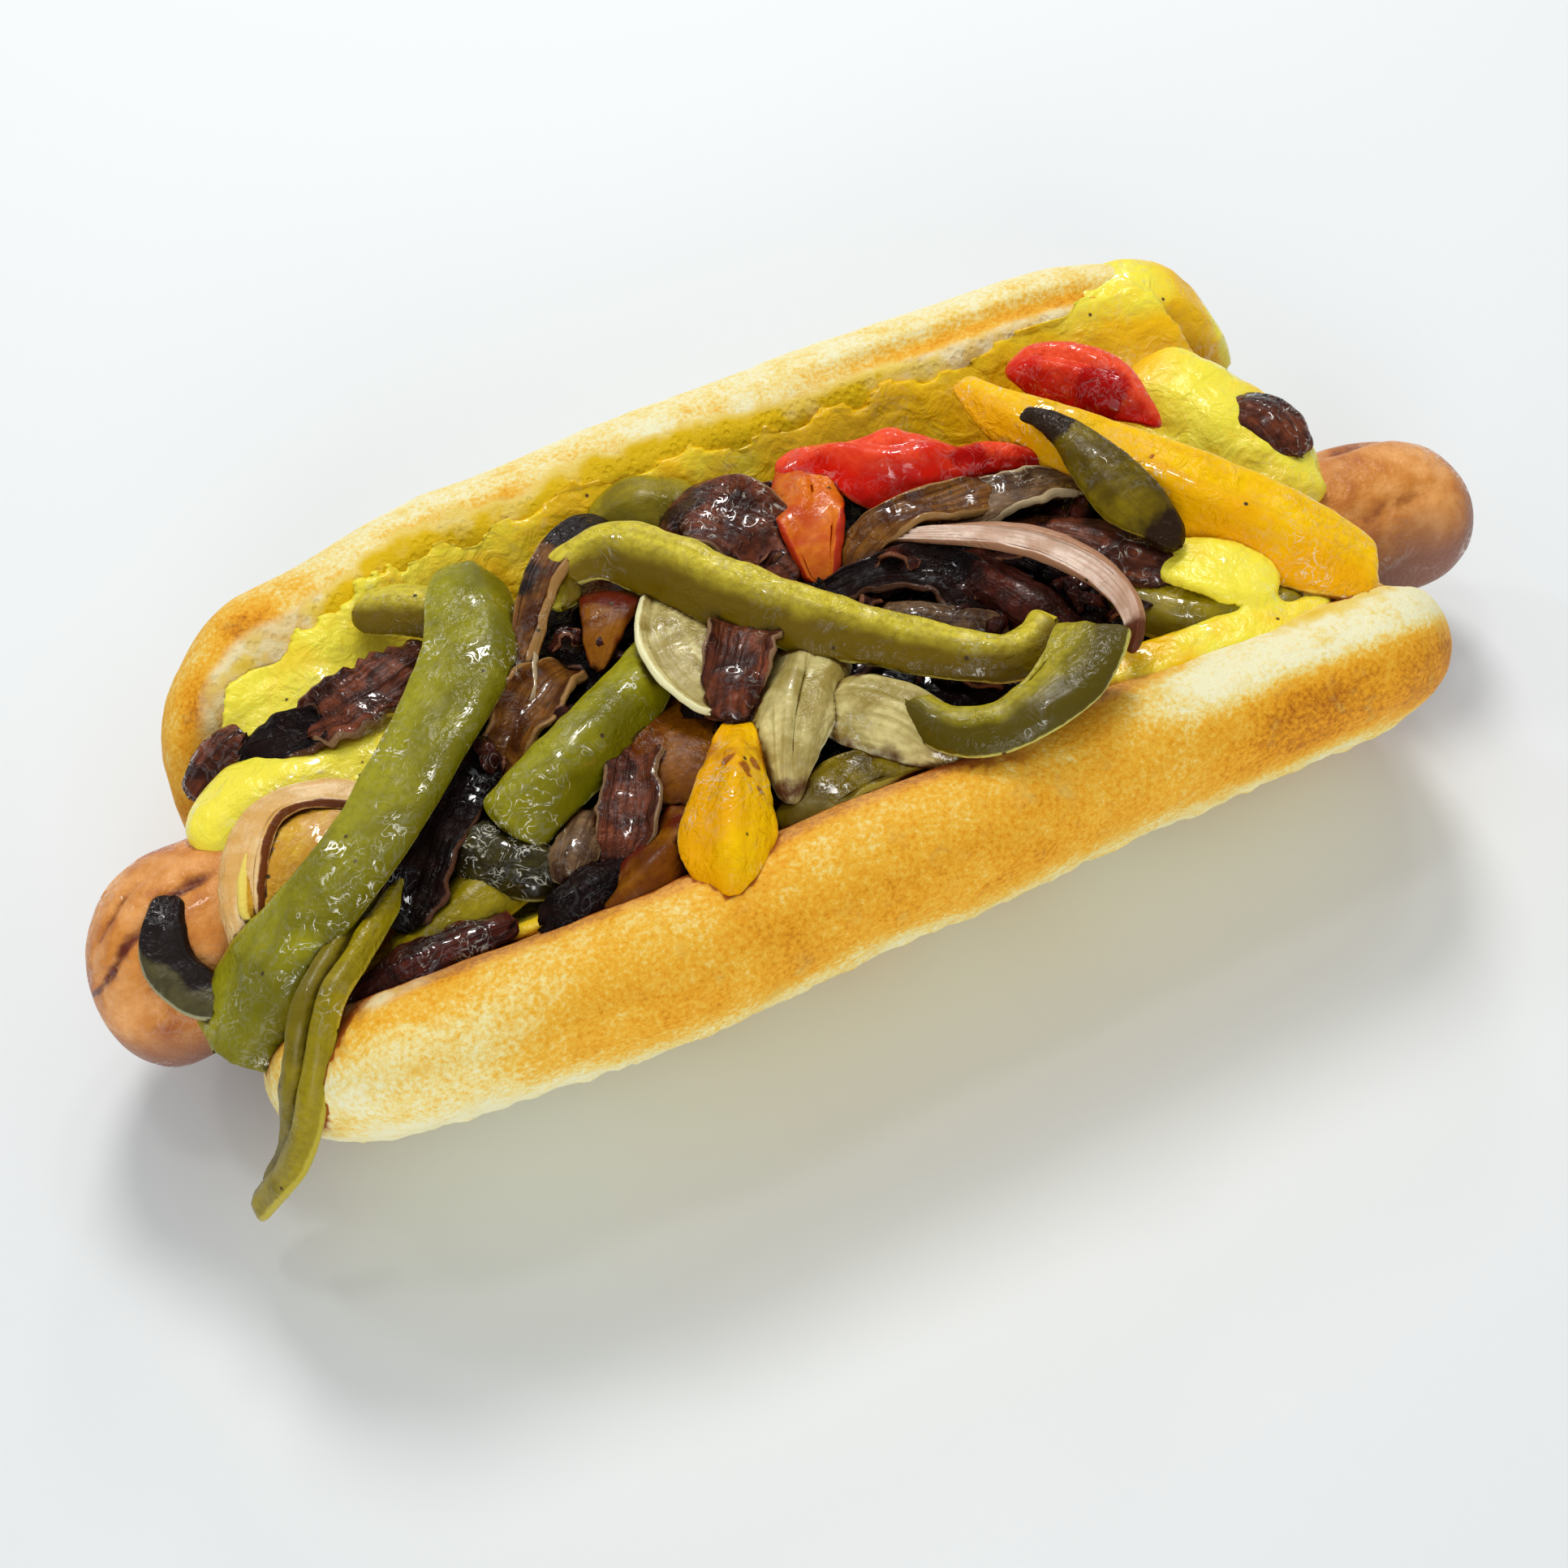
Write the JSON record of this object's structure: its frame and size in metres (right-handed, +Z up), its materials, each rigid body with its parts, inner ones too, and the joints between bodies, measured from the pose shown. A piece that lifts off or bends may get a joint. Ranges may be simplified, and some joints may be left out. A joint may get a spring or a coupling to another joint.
{
  "type": "hot dog",
  "caption": "Grilled sausage in an opened soft bun, with yellow mustard and a heap of fried sweet pepper strips and charred onion",
  "frame": {"origin": "the middle of the bun's flat underside, on the surface that it lies on", "axes": "+X along the bun and the sausage, +Y towards the far half of the bun, +Z up"},
  "size_m": [0.1838, 0.0913, 0.0448],
  "materials": {
    "bread": "baked golden crust, pale along the cut and the lower edge",
    "sausage_skin": "grilled orange-brown skin, browned creases, soft shine",
    "mustard": "wet yellow sauce",
    "green_pepper": "fried olive-green flesh, oily",
    "olive_pepper": "fried dark olive flesh, oily",
    "yellow_pepper": "fried golden yellow flesh, oily",
    "red_pepper": "fried red flesh, glossy",
    "onion_pale": "soft translucent onion, charred at the edges",
    "onion_brown": "browned onion, oily",
    "fried_onion_dark": "charred purple-black onion, wet shine"
  },
  "bodies": {
    "root": {"bun": "bread", "green_pepper_fold": "green_pepper", "green_pepper_hook": "green_pepper", "green_pepper_long": "green_pepper", "green_pepper_ridge": "green_pepper", "green_pepper_tail": "green_pepper", "mustard": "mustard", "olive_pepper_back": "olive_pepper", "olive_pepper_left": "olive_pepper", "olive_pepper_rim_left": "olive_pepper", "olive_pepper_rim_mid": "olive_pepper", "olive_pepper_rim_right": "olive_pepper", "olive_pepper_sliver": "olive_pepper", "onion_arc_left": "onion_brown", "onion_char_curl": "fried_onion_dark", "onion_char_high": "fried_onion_dark", "onion_char_low": "fried_onion_dark", "onion_char_mid": "fried_onion_dark", "onion_char_petal": "fried_onion_dark", "onion_char_right": "fried_onion_dark", "onion_chunk_dark": "fried_onion_dark", "onion_heap": "fried_onion_dark", "onion_petal_brown": "onion_brown", "onion_petal_fan": "onion_pale", "onion_petal_left": "onion_pale", "onion_petal_right": "onion_pale", "onion_ring_brown": "onion_brown", "onion_ring_pale": "onion_pale", "onion_scrap_brown": "onion_brown", "onion_scrap_dark": "fried_onion_dark", "onion_scrap_pink": "onion_brown", "onion_scrap_rim": "fried_onion_dark", "onion_strip_black": "fried_onion_dark", "onion_strip_deep": "fried_onion_dark", "onion_strip_grey": "onion_brown", "onion_strip_left": "fried_onion_dark", "onion_strip_purple": "fried_onion_dark", "onion_strip_shadow": "fried_onion_dark", "pepper_membrane": "olive_pepper", "red_pepper_crescent": "red_pepper", "red_pepper_flag": "red_pepper", "sausage": "sausage_skin", "yellow_pepper_long": "yellow_pepper", "yellow_pepper_low": "yellow_pepper", "yellow_pepper_patch": "yellow_pepper", "yellow_pepper_tip": "yellow_pepper", "yellow_pepper_wedge": "yellow_pepper"}
  },
  "joints": []
}
